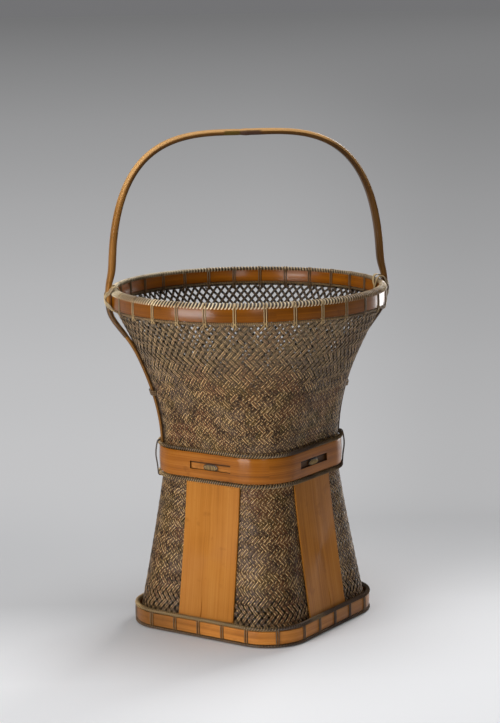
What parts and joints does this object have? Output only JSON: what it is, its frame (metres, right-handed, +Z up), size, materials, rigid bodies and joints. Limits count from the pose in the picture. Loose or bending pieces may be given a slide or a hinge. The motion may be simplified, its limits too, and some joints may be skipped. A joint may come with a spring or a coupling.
{
  "type": "ikebana basket",
  "caption": "Tall plaited bamboo flower basket, square at the foot, cinched at the waist and round at the mouth, with an arched handle and a lift-out bamboo water tube.",
  "frame": {"origin": "on the surface the basket stands on, under the middle of its foot", "axes": "+Z up; the handle stands in the XZ plane; the corners of the square foot and waist point along X and Y"},
  "size_m": [0.2954, 0.282, 0.5035],
  "materials": {
    "smoked_strip": "dark smoked bamboo strip, dull sheen",
    "polished_bamboo": "polished orange-brown bamboo",
    "pale_bamboo": "flat bamboo slat, satin",
    "split_cane": "split cane, pale and slightly glossy",
    "tube_bamboo": "whole bamboo, satin"
  },
  "bodies": {
    "basket": {"woven_body": "smoked_strip", "foot_hoop": "polished_bamboo", "foot_band": "polished_bamboo", "foot_edge_roll": "split_cane", "foot_binding": "split_cane", "upper_batten": "polished_bamboo", "lower_batten": "polished_bamboo", "slat_back_right": "pale_bamboo", "slat_back_left": "pale_bamboo", "slat_front_left": "pale_bamboo", "slat_front_right": "pale_bamboo", "waist_backing": "polished_bamboo", "waist_band": "polished_bamboo", "waist_roll_top": "split_cane", "waist_roll_bottom": "split_cane", "window_knot_back_right": "split_cane", "window_knot_back_left": "split_cane", "window_knot_front_left": "split_cane", "window_knot_front_right": "split_cane", "waist_tie_right": "split_cane", "waist_tie_left": "split_cane", "handle": "polished_bamboo", "tail_tie_right": "split_cane", "tail_tie_left": "split_cane", "handle_knot_right": "split_cane", "handle_knot_left": "split_cane", "rim_outer_band": "polished_bamboo", "rim_inner_band": "polished_bamboo", "rim_outer_cane": "split_cane", "rim_inner_cane": "split_cane", "rim_binding": "split_cane"},
    "liner": {"water_tube": "tube_bamboo"}
  },
  "joints": [
    {"name": "tube_lift", "type": "slide", "parent": "basket", "child": "liner", "axis": [0, 0, 1], "range_m": [0, 0.345]}
  ]
}
